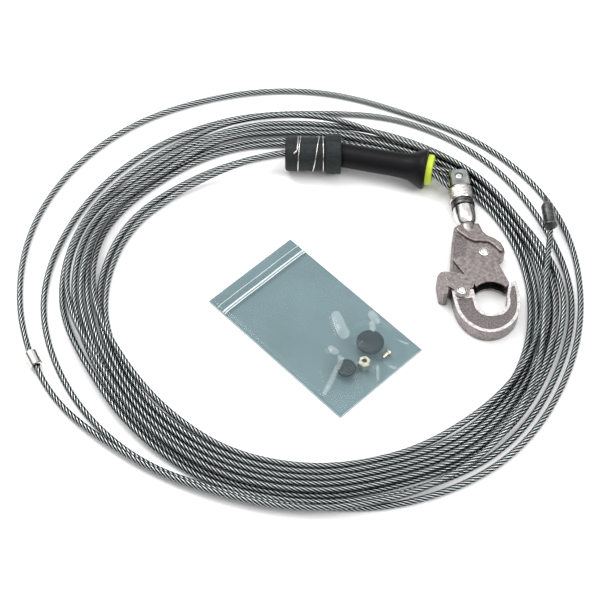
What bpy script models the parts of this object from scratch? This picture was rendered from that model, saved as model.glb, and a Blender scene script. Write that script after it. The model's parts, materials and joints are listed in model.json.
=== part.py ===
"""Wire rope lifeline assembly of a self retracting lifeline, with its bag of fittings.

The coil lies flat on the ground. A bumper and a hand grip sit on the rope, and the rope's eye holds a
swivel snap hook. Units are metres. +Z is up, +X runs along the coil's longer diameter, and the origin
is on the ground under the middle of what isn't rope: the hook, the grip, the ferrules and the bag.
"""

import math

import bmesh
import bpy
import numpy as np
from mathutils import Matrix, Vector

MM = 0.001
GAP = 0.3 * MM  # clearance between neighbouring solids
TO_ORIGIN = (2.5 * MM, -6 * MM, 0)  # moves the finished assembly's middle to the origin

# ---- rope ------------------------------------------------------------------------------------------
ROPE_D = 4.8 * MM  # 3/16 in wire rope
ROPE_R = ROPE_D / 2
COIL_CENTRE = (10 * MM, -15 * MM)
COIL_HEIGHT = 10.5 * MM  # the turns lie in two to three layers
# Radii of the coil's band every 45 degrees, counter-clockwise from +X
BAND_INNER = (166, 171.5, 152.5, 156.5, 160.5, 146.5, 146.5, 156)
BAND_OUTER = (199.5, 198.4, 189.6, 196.5, 209.4, 189.6, 181.4, 199)
# The outermost turn: (angle in degrees, radius, height) in millimetres from the coil's centre. It rises
# through the stop ferrule, which lies on the ground.
OUTER_TURN = ((349, 203.2, 2.4), (0, 203.6, 2.4), (22, 203, 2.4), (45, 202.5, 2.4), (68, 206, 2.4),
              (90, 213, 2.4), (112, 222, 2.4), (135, 228, 2.4), (158, 229.5, 2.4), (175, 227.5, 2.4),
              (183, 225.2, 3.2), (193, 219.5, 5.1), (197.5, 216, 5.1), (207, 207.5, 3.2), (214, 201.5, 2.4),
              (223, 194.5, 2.4))
STOP_FERRULE_AT = 195.2  # degrees
OUTER_TURN_POINTS = 70

# ---- bumper and hand grip, on one line with the rope -------------------------------------------------
LINE_Y, LINE_Z = 117.5 * MM, 16.6 * MM  # the bumper's axis
BUMPER_X = (-12 * MM, 33 * MM)
BUMPER_R, BUMPER_COLLAR_R = 14 * MM, 16.3 * MM
BUMPER_BORE_R = 3 * MM
BUMPER_RECESS_R, BUMPER_RECESS = 12.5 * MM, 7.5 * MM
BINDING_WIRE_R = 0.5 * MM
# The binding wire: (turns made, distance along the bumper in millimetres)
BINDING_RUN = ((0.1, 9.5), (0.6, 12), (1.1, 12.6), (1.6, 15), (2.1, 24.5), (2.6, 27.5), (3.1, 29), (3.6, 29.8))
GRIP_START_X = 29 * MM  # the grip's end sits in the bumper's recess
GRIP_TURN = math.radians(-12.5)  # the grip's direction in plan
GRIP_LENGTH = 74 * MM
CORE_BORE_R = 6.4 * MM
SLEEVE = (48 * MM, 70 * MM)  # the swage sleeve, along the grip's axis
FLANGE = (74.3 * MM, 79.5 * MM)  # the core's flange, along the grip's axis
FLANGE_R = 12.4 * MM

# ---- snap hook, in its own frame: +Y towards the rope, +X to the gate's side --------------------------
HOOK_ORIGIN = (127.4 * MM, 91 * MM, 10.2 * MM)
HOOK_TURN, HOOK_TILT = math.radians(6), math.radians(1.1)
PIN_Y, PIN_R = 3 * MM, 3 * MM
EYE_R = 7.9 * MM  # rope's centreline round the clevis pin
BODY_HALF, BOWL_HALF = 4.5 * MM, 6.3 * MM  # half thicknesses of the forging
GATE_LEVEL = (4.8 * MM, 6.3 * MM)  # the gate's side plates, above and below
LEVER_LEVEL = (6.6 * MM, 8.0 * MM)  # the lever's side plates
GATE_PIVOT = (8 * MM, -72 * MM)
LEVER_PIVOT = (-15 * MM, -107 * MM)
RIVET_R, RIVET_HOLE_R = 2.2 * MM, 4.2 * MM

# ---- bag of fittings -----------------------------------------------------------------------------------
BAG_CENTRE, BAG_TURN = (11 * MM, -39 * MM), math.radians(-46.3)
BAG_LENGTH, BAG_WIDTH, FILM = 145 * MM, 87 * MM, 0.4 * MM
ZIP_X = -58 * MM  # the zip track, along the bag
PLUG_AT = (43.6 * MM, 16.2 * MM)  # large plug, in the bag's own frame
SMALL_PLUG_AT = (46.8 * MM, -12 * MM)
STANDOFF_AT = (53.1 * MM, 0.7 * MM)
SCREW_AT = (57.8 * MM, 22.5 * MM)

for old in list(bpy.data.objects):
    bpy.data.objects.remove(old, do_unlink=True)
PARTS = bpy.data.collections.new("wire_rope_lifeline")
CUTTERS = bpy.data.collections.new("cutters")
for group in (PARTS, CUTTERS):
    bpy.context.scene.collection.children.link(group)


# ---- helpers ---------------------------------------------------------------------------------------------
def material(name, colour, roughness, metallic=0.0, alpha=1.0):
    made = bpy.data.materials.get(name) or bpy.data.materials.new(name)
    made.use_nodes = True
    shader = made.node_tree.nodes["Principled BSDF"]
    shader.inputs["Base Color"].default_value = (*colour, 1)
    shader.inputs["Roughness"].default_value = roughness
    shader.inputs["Metallic"].default_value = metallic
    shader.inputs["Alpha"].default_value = alpha
    return made


ROPE_STEEL = ("rope_steel", (0.42, 0.44, 0.44), 0.35, 1.0)
POLISHED = ("polished_steel", (0.72, 0.72, 0.71), 0.15, 1.0)
DARK_STEEL = ("dark_steel", (0.2, 0.2, 0.19), 0.4, 1.0)
FORGED = ("forged_steel", (0.33, 0.29, 0.3), 0.4, 1.0)
RUBBER = ("bumper_rubber", (0.05, 0.06, 0.055), 0.7)
GRIP_BLACK = ("grip_black", (0.018, 0.017, 0.02), 0.5)
LIME = ("lime_plastic", (0.62, 0.75, 0.09), 0.35)
FILM_CLEAR = ("bag_film", (0.27, 0.35, 0.37), 0.15, 0.0, 0.5)
PLUG_BLACK = ("plug_black", (0.02, 0.03, 0.035), 0.5)
ZINC = ("zinc", (0.6, 0.58, 0.5), 0.3, 1.0)


def frame(name, matrix):
    """An empty that carries a group's own axes."""
    empty = bpy.data.objects.new(name, None)
    empty.matrix_world = matrix
    PARTS.objects.link(empty)
    return empty


def place(obj, name, colour, parent=None, at=None):
    """Names an object, gives it its material and puts it in the parts' collection."""
    obj.name = name
    obj.data.name = name
    obj.data.materials.clear()
    obj.data.materials.append(material(*colour))
    for owner in list(obj.users_collection):
        owner.objects.unlink(obj)
    PARTS.objects.link(obj)
    if at is not None:
        obj.matrix_basis = at
    if parent is not None:
        obj.parent = parent
    return obj


def to_mesh(obj):
    """A mesh object with the evaluated shape of a curve or of an object with modifiers."""
    bpy.context.view_layer.update()
    graph = bpy.context.evaluated_depsgraph_get()
    mesh = bpy.data.meshes.new_from_object(obj.evaluated_get(graph), depsgraph=graph)
    made = bpy.data.objects.new(obj.name + "_mesh", mesh)
    made.matrix_world = obj.matrix_world.copy()
    bpy.context.scene.collection.objects.link(made)
    bpy.data.objects.remove(obj, do_unlink=True)
    weld(made)
    return made


def weld(obj, distance=1e-6):
    shape = bmesh.new()
    shape.from_mesh(obj.data)
    bmesh.ops.remove_doubles(shape, verts=shape.verts, dist=distance)
    bmesh.ops.recalc_face_normals(shape, faces=shape.faces)
    shape.to_mesh(obj.data)
    shape.free()


def turned(profile, steps=32, closed=False):
    """A turned solid about local Z from (radius, height) points, run from top to bottom."""
    points = [(r, 0, z) for r, z in profile]
    edges = [(i, i + 1) for i in range(len(points) - 1)]
    if closed:
        edges.append((len(points) - 1, 0))
    mesh = bpy.data.meshes.new("profile")
    mesh.from_pydata(points, edges, [])
    obj = bpy.data.objects.new("profile", mesh)
    bpy.context.scene.collection.objects.link(obj)
    screw = obj.modifiers.new("turn", "SCREW")
    screw.axis, screw.angle = "Z", math.tau
    screw.steps = screw.render_steps = steps
    screw.use_merge_vertices, screw.merge_threshold = True, 1e-5
    screw.use_smooth_shade = True
    return obj


def tube(points, radius, resolution=2, cyclic=False):
    """A round wire through the points."""
    curve = bpy.data.curves.new("wire", "CURVE")
    curve.dimensions = "3D"
    curve.bevel_depth, curve.bevel_resolution, curve.use_fill_caps = radius, resolution, True
    spline = curve.splines.new("POLY")
    spline.points.add(len(points) - 1)
    for at, point in zip(spline.points, points):
        at.co = (*point, 1)
    spline.use_cyclic_u = cyclic
    obj = bpy.data.objects.new("wire", curve)
    bpy.context.scene.collection.objects.link(obj)
    return obj


def plate(outlines, low, high):
    """A flat solid between two levels; outlines after the first are its holes."""
    curve = bpy.data.curves.new("plate", "CURVE")
    curve.dimensions, curve.fill_mode = "2D", "BOTH"
    curve.extrude = (high - low) / 2
    for outline in outlines:
        spline = curve.splines.new("POLY")
        spline.points.add(len(outline) - 1)
        for at, point in zip(spline.points, outline):
            at.co = (point[0], point[1], 0, 1)
        spline.use_cyclic_u = True
    obj = bpy.data.objects.new("plate", curve)
    obj.location.z = (low + high) / 2
    bpy.context.scene.collection.objects.link(obj)
    return obj


def combine(base, others, operation="UNION"):
    """Joins or cuts a mesh object with others, and drops them."""
    for other in others:
        change = base.modifiers.new("combine", "BOOLEAN")
        change.operation, change.solver, change.object = operation, "EXACT", other
        base = to_mesh(base)
        bpy.data.objects.remove(other, do_unlink=True)
    return base


def box(low, high):
    bpy.ops.mesh.primitive_cube_add(size=1)
    obj = bpy.context.object
    size = [h - l for l, h in zip(low, high)]
    middle = [(h + l) / 2 for l, h in zip(low, high)]
    obj.data.transform(Matrix.Translation(middle) @ Matrix.Diagonal((*size, 1)))
    return obj


def cylinder(radius, low, high, at=(0, 0), sides=24):
    bpy.ops.mesh.primitive_cylinder_add(vertices=sides, radius=radius, depth=high - low,
                                        location=(at[0], at[1], (low + high) / 2))
    return bpy.context.object


def circle(centre, radius, count=24, start=0.0, sweep=math.tau):
    """Points along a circle or, with a smaller sweep, an arc that includes its last point."""
    steps = count if abs(sweep) >= math.tau - 1e-9 else count - 1
    return [(centre[0] + radius * math.cos(start + sweep * i / steps),
             centre[1] + radius * math.sin(start + sweep * i / steps)) for i in range(count)]


def smooth(knots, count, cyclic=False):
    """Evenly spread points on a smooth curve through the knots."""
    p = np.array(list(knots) + ([knots[0]] if cyclic else []), float)
    step = np.linalg.norm(np.diff(p, axis=0), axis=1)[:, None]
    chord = np.diff(p, axis=0) / step
    if cyclic:
        chord, step = np.vstack([chord[-1:], chord, chord[:1]]), np.vstack([step[-1:], step, step[:1]])
    else:
        chord, step = np.vstack([chord[:1], chord, chord[-1:]]), np.vstack([step[:1], step, step[-1:]])
    slope = (chord[:-1] * step[1:] + chord[1:] * step[:-1]) / (step[1:] + step[:-1])
    t = np.linspace(0, 1, 24, endpoint=False)[:, None]
    line = []
    for i in range(len(p) - 1):
        h = step[i + 1]
        line.append((2 * t ** 3 - 3 * t ** 2 + 1) * p[i] + (t ** 3 - 2 * t ** 2 + t) * h * slope[i]
                    + (3 * t ** 2 - 2 * t ** 3) * p[i + 1] + (t ** 3 - t ** 2) * h * slope[i + 1])
    line = np.vstack(line + [p[-1:]])
    along = np.concatenate([[0], np.cumsum(np.linalg.norm(np.diff(line, axis=0), axis=1))])
    at = np.linspace(0, along[-1], count, endpoint=not cyclic)
    return [tuple(point) for point in np.stack([np.interp(at, along, k) for k in line.T], axis=1)]


def mm(points):
    return [tuple(v * MM for v in p) for p in points]


def on_coil(degrees, radius_mm):
    """The point at an angle and a radius from the coil's centre."""
    a = math.radians(degrees)
    return (COIL_CENTRE[0] + radius_mm * MM * math.cos(a), COIL_CENTRE[1] + radius_mm * MM * math.sin(a))


def axis_frame(point, direction, up=(0, 0, 1)):
    """A frame at a point whose local Z runs along the direction."""
    z = Vector(direction).normalized()
    x = Vector(up).cross(z)
    x = x.normalized() if x.length > 1e-6 else Vector((1, 0, 0))
    turn = Matrix((x, z.cross(x), z)).transposed()
    return Matrix.Translation(point) @ turn.to_4x4()


# ---- frames of the sub-assemblies ---------------------------------------------------------------------
GRIP = frame("grip_axis", axis_frame((GRIP_START_X, LINE_Y, LINE_Z),
                                     (math.cos(GRIP_TURN), math.sin(GRIP_TURN), 0)))
BUMPER = frame("bumper_axis", axis_frame((BUMPER_X[0], LINE_Y, LINE_Z), (1, 0, 0)))
HOOK = frame("hook_axis", Matrix.Translation(HOOK_ORIGIN) @ Matrix.Rotation(HOOK_TURN, 4, "Z")
             @ Matrix.Rotation(HOOK_TILT, 4, "X"))
SWIVEL = Matrix.Rotation(math.pi / 2, 4, "X")  # local Z of a turned piece runs along the hook, down -Y
BAG = frame("bag_axis", Matrix.Translation((*BAG_CENTRE, 0)) @ Matrix.Rotation(BAG_TURN, 4, "Z"))


# ---- rope ------------------------------------------------------------------------------------------------
def rope_coil():
    """The band that the neat turns fill, with its loose second turn."""
    rings = []
    for radii in (BAND_OUTER, BAND_INNER):
        knots = [on_coil(45 * i, r) for i, r in enumerate(radii)]
        rings.append(smooth(knots, 72, cyclic=True))
    place(to_mesh(plate(rings, 0, COIL_HEIGHT)), "rope_coil", ROPE_STEEL)


def outer_turn_line():
    return smooth([(*on_coil(a, r), z * MM) for a, r, z in OUTER_TURN], OUTER_TURN_POINTS)


def rope_outer_turn():
    place(tube(outer_turn_line(), ROPE_R), "rope_outer_turn", ROPE_STEEL)


def rope_lead():
    """From the coil's inner side up into the bumper and on to the swage sleeve."""
    line = [(*on_coil(184, 156.8), 2.6 * MM), (*on_coil(166, 154.5), 2.6 * MM),
            (*on_coil(152, 151.8), 2.6 * MM), (-100 * MM, 87.5 * MM, 3.4 * MM),
            (-73 * MM, 104.5 * MM, 6.5 * MM), (-45 * MM, 114.2 * MM, 12.3 * MM),
            (-21 * MM, LINE_Y, LINE_Z), (-12 * MM, LINE_Y, LINE_Z), (22 * MM, LINE_Y, LINE_Z)]
    along = Vector((math.cos(GRIP_TURN), math.sin(GRIP_TURN), 0))
    start = Vector((GRIP_START_X, LINE_Y, LINE_Z))
    line += [tuple(start + along * s) for s in (12 * MM, 30 * MM, SLEEVE[0] - GAP)]
    place(tube(smooth(line, 34), ROPE_R), "rope_lead", ROPE_STEEL)


def rope_tail():
    """The rope's inner end, on top of the coil, up to the end ferrule."""
    line = [(*on_coil(352, 172), COIL_HEIGHT + ROPE_R + GAP), (*on_coil(4, 176), COIL_HEIGHT + ROPE_R + GAP),
            (194 * MM, 27 * MM, 15.4 * MM), (196 * MM, 40 * MM, 16.2 * MM), (196.5 * MM, 43.5 * MM, 16.2 * MM)]
    place(tube(smooth(line, 9), ROPE_R), "rope_tail", ROPE_STEEL)


def eye_line():
    """The eye's centreline: out of the grip, round the clevis pin and back."""
    pin = HOOK.matrix_world @ Vector((0, PIN_Y, 0))
    along = Vector((math.cos(GRIP_TURN), math.sin(GRIP_TURN), 0))
    mouth = Vector((GRIP_START_X, LINE_Y, LINE_Z)) + along * (SLEEVE[1] + GAP)
    side = Vector((-along.y, along.x, 0)) * (ROPE_R + 0.1 * MM)
    flange = mouth + along * (FLANGE[1] - SLEEVE[1])
    back = (flange - pin)
    start = math.atan2(back.y, back.x)
    loop = [(pin.x + EYE_R * math.cos(start + a), pin.y + EYE_R * math.sin(start + a), pin.z)
            for a in np.radians(np.arange(-80, -281, -25))]
    line = [mouth + side, mouth + side + along * 6 * MM] + loop
    line += [mouth - side + along * 6 * MM, mouth - side]
    return [tuple(p) for p in line]


def rope_eye():
    place(tube(smooth(eye_line(), 44), ROPE_R - 0.05 * MM), "rope_eye", ROPE_STEEL)


def rope_fittings():
    line = outer_turn_line()
    near = min(range(len(line)), key=lambda i: abs(math.degrees(math.atan2(
        line[i][1] - COIL_CENTRE[1], line[i][0] - COIL_CENTRE[0])) % 360 - STOP_FERRULE_AT))
    at, ahead = Vector(line[near]), Vector(line[near + 1]) - Vector(line[near - 1])
    place(sleeve(6.5 * MM, 5 * MM, ROPE_R + 0.5 * MM), "stop_ferrule", POLISHED, at=axis_frame(at, ahead))
    nose = [(0, 31), (1.2, 30.2), (1.8, 27), (2.6, 23.5), (4.2, 21), (4.9, 20), (4.9, 2.2), (5.4, 1.6),
            (5.4, 0.5), (4.8, 0), (0, 0)]
    tail = Vector((196.6 * MM, 44.2 * MM, 16.2 * MM))
    place(turned(mm(nose), 24), "end_ferrule", DARK_STEEL, at=axis_frame(tail, (-0.06, 1, 0)))
    swage = turned(mm([(0, 22), (4.6, 22), (5.9, 20.5), (5.9, 1.5), (4.6, 0), (0, 0)]), 24)
    place(swage, "swage_sleeve", DARK_STEEL, GRIP, Matrix.Translation((0, 0, SLEEVE[0])))


def sleeve(half, radius, bore):
    """A short bored cylinder about local Z with chamfered ends."""
    edge = 0.6 * MM
    return turned([(radius - edge, half), (radius, half - edge), (radius, edge - half),
                   (radius - edge, -half), (bore, -half), (bore, half)], 24, closed=True)


def eye_thimble():
    """Grooved bush inside the rope's eye."""
    groove = [(6.6, 3.4), (6.8, 3), (5.2, 1.6), (5.0, 0), (5.2, -1.6), (6.8, -3), (6.6, -3.4), (3.3, -3.4),
              (3.3, 3.4)]
    place(turned(mm(groove), 32, closed=True), "eye_thimble", LIME, HOOK, Matrix.Translation((0, PIN_Y, 0)))


# ---- bumper ----------------------------------------------------------------------------------------------
def bumper():
    length = BUMPER_X[1] - BUMPER_X[0]
    r, collar, bore = BUMPER_R, BUMPER_COLLAR_R, BUMPER_BORE_R
    profile = [(BUMPER_RECESS_R, length), (collar - 0.8 * MM, length), (collar, length - 0.8 * MM),
               (collar, 33.5 * MM), (collar - 0.6 * MM, 32.6 * MM), (r - 0.4 * MM, 32.6 * MM),
               (r - 0.4 * MM, 10.5 * MM), (r, 10 * MM), (r, 2.5 * MM), (r - 0.8 * MM, 0.8 * MM),
               (r - 2.5 * MM, 0), (bore, 0), (bore, length - BUMPER_RECESS),
               (BUMPER_RECESS_R, length - BUMPER_RECESS)]
    for name, side in (("bumper_shell_front", 1), ("bumper_shell_rear", -1)):
        whole = to_mesh(turned(profile, 32, closed=True))
        low, high = sorted((side * 0.15 * MM, side * 30 * MM))
        half = combine(whole, [box((low, -30 * MM, -1 * MM), (high, 30 * MM, 60 * MM))], "INTERSECT")
        place(half, name, RUBBER, BUMPER)
    turns = np.linspace(0.1, 3.6, 70)
    along = np.interp(turns, *zip(*BINDING_RUN))
    radius = BUMPER_R + BINDING_WIRE_R + 0.4 * MM
    line = [(radius * math.cos(math.tau * t), radius * math.sin(math.tau * t), s * MM)
            for t, s in zip(turns, along)]
    place(tube(line, BINDING_WIRE_R, 1), "binding_wire", POLISHED, BUMPER)


# ---- hand grip ---------------------------------------------------------------------------------------------
def hand_grip():
    bore, wall = CORE_BORE_R, 1.2 * MM
    core = [(bore + 1 * MM, FLANGE[1]), (FLANGE_R - 1 * MM, FLANGE[1]), (FLANGE_R, FLANGE[1] - 1 * MM),
            (FLANGE_R, FLANGE[0]), (bore + wall, FLANGE[0]), (bore + wall, 6 * MM), (bore, 6 * MM),
            (bore, FLANGE[1] - 1 * MM)]
    place(turned(core, 36, closed=True), "handle_core", LIME, GRIP)
    hole = bore + wall + GAP
    grip = [(hole, GRIP_LENGTH), (15.6 * MM, GRIP_LENGTH), (16.5 * MM, 73.2 * MM), (16.5 * MM, 72.2 * MM),
            (15.2 * MM, 69 * MM), (13.2 * MM, 65.5 * MM), (11.4 * MM, 61.5 * MM), (10.4 * MM, 56 * MM),
            (10 * MM, 46 * MM), (9.9 * MM, 2 * MM), (9 * MM, 0), (hole, 0)]
    place(turned(grip, 36, closed=True), "handle_grip", GRIP_BLACK, GRIP)


# ---- swivel --------------------------------------------------------------------------------------------------
def swivel():
    """Yoke round the rope's eye, with its pin, band, collar, post and thrust washer."""
    ear = 8.3 * MM
    outline = [(-ear, -12 * MM), (ear, -12 * MM), (ear, 5 * MM)]
    outline += circle((4.3 * MM, 5 * MM), 4 * MM, 6, 0, math.pi / 2)
    outline += circle((-4.3 * MM, 5 * MM), 4 * MM, 6, math.pi / 2, math.pi / 2)
    outline += [(-ear, 5 * MM)]
    block = to_mesh(plate([outline], -ear, ear))
    barrel = turned(mm([(0, 24.2), (8.6, 24.2), (8.6, 11), (0, 11)]), 32)
    barrel.matrix_basis = SWIVEL
    yoke = combine(block, [to_mesh(barrel)])
    rounder = turned(mm([(0, 26), (10.4, 26), (10.4, -4), (9, -12), (0, -12)]), 40)
    rounder.matrix_basis = SWIVEL
    yoke = combine(yoke, [to_mesh(rounder)], "INTERSECT")
    slot = box((-12 * MM, -8.4 * MM, -3.9 * MM), (12 * MM, 14 * MM, 3.9 * MM))
    yoke = combine(yoke, [slot, cylinder(PIN_R + 0.05 * MM, -12 * MM, 12 * MM, (0, PIN_Y))], "DIFFERENCE")
    # the band's seat: the yoke is turned down below the slot's ears
    seat = turned(mm([(8.6, 30), (14, 30), (14, 6), (8.6, 6)]), 40, closed=True)
    seat.matrix_basis = SWIVEL
    yoke = combine(yoke, [to_mesh(seat)], "DIFFERENCE")
    post = turned(mm([(0, 38), (3, 38), (3, 23), (0, 23)]), 20)
    post.matrix_basis = SWIVEL
    yoke = combine(yoke, [to_mesh(post)])
    place(yoke, "swivel_yoke", POLISHED, HOOK)
    pin = turned(mm([(0, 7.8), (2.2, 7.8), (2.9, 7.2), (2.9, -7.2), (2.2, -7.8), (0, -7.8)]), 24)
    place(pin, "clevis_pin", POLISHED, HOOK, Matrix.Translation((0, PIN_Y, 0)))
    band = [(9.6, 6.3), (10, 6.8), (10, 18), (9.6, 18.5), (8.9, 18.5), (8.9, 6.3)]
    place(turned(mm(band[::-1]), 36, closed=True), "swivel_band", POLISHED, HOOK, SWIVEL)
    collar = [(8.9, 24), (9.1, 24), (9.4, 23.4), (9.4, 21.6), (9.1, 21), (9.1, 18.8), (8.9, 18.8)]
    place(turned(mm(collar), 36, closed=True), "swivel_collar", POLISHED, HOOK, SWIVEL)
    nut = [(3.9, 38), (5.2, 38), (5.6, 37.5), (5.6, 34.6), (5.2, 34.1), (3.9, 34.1)]
    place(turned(mm(nut), 6, closed=True), "post_nut", DARK_STEEL, HOOK, SWIVEL)
    washer = [(3.4, 33.8), (6.2, 33.8), (6.2, 32.3), (3.4, 32.3)]
    place(turned(mm(washer), 28, closed=True), "thrust_washer", POLISHED, HOOK, SWIVEL)


# ---- snap hook ---------------------------------------------------------------------------------------------
BODY_LEFT = [(-8.5, -44), (-11.5, -46), (-14.6, -57), (-17.6, -70), (-20.6, -86), (-22.2, -101),
             (-22.3, -115), (-20.6, -126), (-16.5, -134.5), (-10, -141.3), (-2, -145.2), (6, -145.6),
             (14.5, -142.5), (21.8, -136), (26.3, -127), (28.3, -116), (28.5, -104), (27.6, -100.9),
             (25.8, -100.2), (24.4, -101.8), (23.6, -105.6), (20.6, -109.5)]
BOWL_INNER = [(18.7, -114), (18.4, -119), (16, -125), (11.5, -128.7), (9, -129.3), (3, -129.3),
              (-0.8, -128), (-4.2, -124), (-5.3, -118)]
BODY_RIGHT = [(-5.6, -110), (-6.6, -101), (-8.6, -92), (-9.2, -85), (-6.5, -81.2), (-1, -80.4), (4, -82),
              (9, -82.2), (13.5, -80.8), (17.5, -78), (21.5, -77), (24.2, -73.5), (24.3, -69),
              (22.8, -64), (18.8, -59.4), (13.5, -56), (10.5, -52), (9, -46), (8.5, -44)]
HORN = [(-8.5, -44), (-10.5, -47.5), (-9.5, -50.5), (-3, -57.5), (2, -61.2), (8, -61.8), (13, -62.8),
        (17.2, -67.6), (20.3, -73), (23.2, -72.8), (24.2, -69.2), (22.6, -64.2), (18.6, -59.6),
        (13.3, -56.2), (10.3, -52.2), (8.9, -46), (8.5, -44)]
GATE_SWEEP = 36.6 * MM  # the gate's plates turn inside this radius about their rivet


def hook_body():
    """The forging: a thin spine and shoulder, and a thick horn and bowl."""
    spine = to_mesh(plate([mm(BODY_LEFT + BOWL_INNER + BODY_RIGHT)], -BODY_HALF, BODY_HALF))
    bowl = to_mesh(plate([mm(BODY_LEFT + BOWL_INNER + [(-6, -104), (-21.8, -99)])], -BOWL_HALF, BOWL_HALF))
    turning = cylinder(GATE_SWEEP, -20 * MM, 20 * MM, GATE_PIVOT, 64)
    above = box((-60 * MM, -98 * MM, -20 * MM), (60 * MM, 0, 20 * MM))
    bowl = combine(bowl, [above], "DIFFERENCE")
    bowl = combine(bowl, [combine(turning, [box((22.9 * MM, -120 * MM, -21 * MM),
                                                 (60 * MM, 0, 21 * MM))], "DIFFERENCE")], "DIFFERENCE")
    horn = to_mesh(plate([mm(HORN)], -BOWL_HALF - 0.4 * MM, BOWL_HALF + 0.4 * MM))
    neck = turned(mm([(0, 58), (5, 56), (7.4, 50), (8.2, 43), (0, 43)]), 32)
    neck.matrix_basis = SWIVEL
    body = combine(spine, [bowl, horn, to_mesh(neck)])
    holes = [cylinder(RIVET_HOLE_R, -9 * MM, 9 * MM, at, 24) for at in (GATE_PIVOT, LEVER_PIVOT)]
    place(combine(body, holes, "DIFFERENCE"), "hook_body", FORGED, HOOK)


def swivel_housing():
    """The dome that holds the post's nut; it turns with the hook."""
    dome = [(3.3, 24.5), (8.2, 24.5), (8.7, 25.2), (8.7, 33), (8.2, 37.5), (6.6, 41), (4, 42.6), (0, 42.7),
            (0, 39.6), (4, 39.4), (6.7, 37.5), (6.7, 32), (3.3, 32)]
    place(turned(mm(dome[::-1]), 36, closed=True), "swivel_housing", POLISHED, HOOK, SWIVEL)


GATE_LEFT = [(1.8, -66.2), (-3, -71.2), (-11, -74), (-16.8, -75.6), (-15.8, -80), (-13, -85.4),
             (-10.2, -91), (-7, -97), (-3.2, -103.4), (0, -101.2), (5, -99.4), (11, -99.8), (16, -102.4),
             (19.6, -105.6), (22, -104.8), (22.6, -103)]
GATE_WEB = [(17.1, -84.2), (14.6, -84.9), (20, -102.8), (22.5, -102.4)]


def snap_gate():
    """Two side plates and the web that closes the throat."""
    outline = circle(GATE_PIVOT, 6.5 * MM, 9, math.radians(-15), math.radians(140)) + mm(GATE_LEFT)
    plates = [to_mesh(plate([outline, circle(GATE_PIVOT, RIVET_R + 0.1 * MM, 20)[::-1]], low, high))
              for low, high in (GATE_LEVEL, (-GATE_LEVEL[1], -GATE_LEVEL[0]))]
    web = to_mesh(plate([mm(GATE_WEB)], -GATE_LEVEL[0] - 0.6 * MM, GATE_LEVEL[0] + 0.6 * MM))
    place(combine(web, plates), "snap_gate", FORGED, HOOK)


LEVER_TOP = [(-25, -88.6), (-17, -90.2), (-9.5, -93), (-3.2, -98.6), (-6, -104.8), (-8.6, -105.2)]
THUMB = [(-25, -88.2), (-28.8, -88.8), (-31.4, -92), (-32.6, -99), (-32.2, -106), (-29.6, -109),
         (-26.2, -108.6), (-25, -103)]


def lock_lever():
    """Two side plates on the lever's rivet, joined by the thumb piece."""
    boss = circle(LEVER_PIVOT, 6 * MM, 12, math.radians(10), math.radians(-205))
    outline = mm(LEVER_TOP) + boss + mm([(-25, -102)])
    plates = [to_mesh(plate([outline, circle(LEVER_PIVOT, RIVET_R + 0.1 * MM, 20)[::-1]], low, high))
              for low, high in (LEVER_LEVEL, (-LEVER_LEVEL[1], -LEVER_LEVEL[0]))]
    thumb = to_mesh(plate([mm(THUMB)], -LEVER_LEVEL[1] + 0.1 * MM, LEVER_LEVEL[1] - 0.1 * MM))
    place(combine(thumb, plates), "lock_lever", FORGED, HOOK)


def rivets_and_springs():
    gate_rivet = [(0, 8.2), (2.6, 7.9), (3.9, 7), (3.9, 6.6), (2.2, 6.6), (2.2, -6.6), (3.6, -6.6), (3.6, -7.2),
                  (2.6, -7.7), (0, -7.7)]
    lever_rivet = [(0, 9.8), (2.2, 9.5), (3.4, 8.7), (3.4, 8.3), (2.2, 8.3), (2.2, -7.9), (0, -7.9)]
    for name, profile, at in (("gate_rivet", gate_rivet, GATE_PIVOT), ("lever_rivet", lever_rivet, LEVER_PIVOT)):
        place(turned(mm(profile), 24), name, POLISHED, HOOK, Matrix.Translation((*at, 0)))
    turns, per_turn, wire = 4, 9, 0.45 * MM
    radius, rise = 3.2 * MM, 6.4 * MM
    for name, at in (("gate_spring", GATE_PIVOT), ("lever_spring", LEVER_PIVOT)):
        line = [(radius * math.cos(math.tau * i / per_turn), radius * math.sin(math.tau * i / per_turn),
                 rise * (i / (turns * per_turn) - 0.5)) for i in range(turns * per_turn + 1)]
        place(tube(line, wire, 1), name, DARK_STEEL, HOOK, Matrix.Translation((*at, 0)))


# ---- bag of fittings -------------------------------------------------------------------------------------
def bag_height(x, y):
    """How far the front film stands above the ground at a point of the bag."""
    half_l, half_w = BAG_LENGTH / 2, BAG_WIDTH / 2
    edge = max(0.0, 1 - (2 * max(abs(x) / half_l, abs(y) / half_w) - 1) ** 12) if max(
        abs(x) / half_l, abs(y) / half_w) > 0.5 else 1.0
    rise = 1.6 * MM
    for at, top, spread in ((PLUG_AT, 12.4 * MM, 22 * MM), (SMALL_PLUG_AT, 9.6 * MM, 17 * MM),
                            (STANDOFF_AT, 11.4 * MM, 17 * MM), (SCREW_AT, 8 * MM, 12 * MM)):
        near = math.hypot(x - at[0], y - at[1]) / spread
        rise = max(rise, top * math.exp(-(near ** 3) * 1.1))
    return 0.8 * MM + rise * edge


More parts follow.
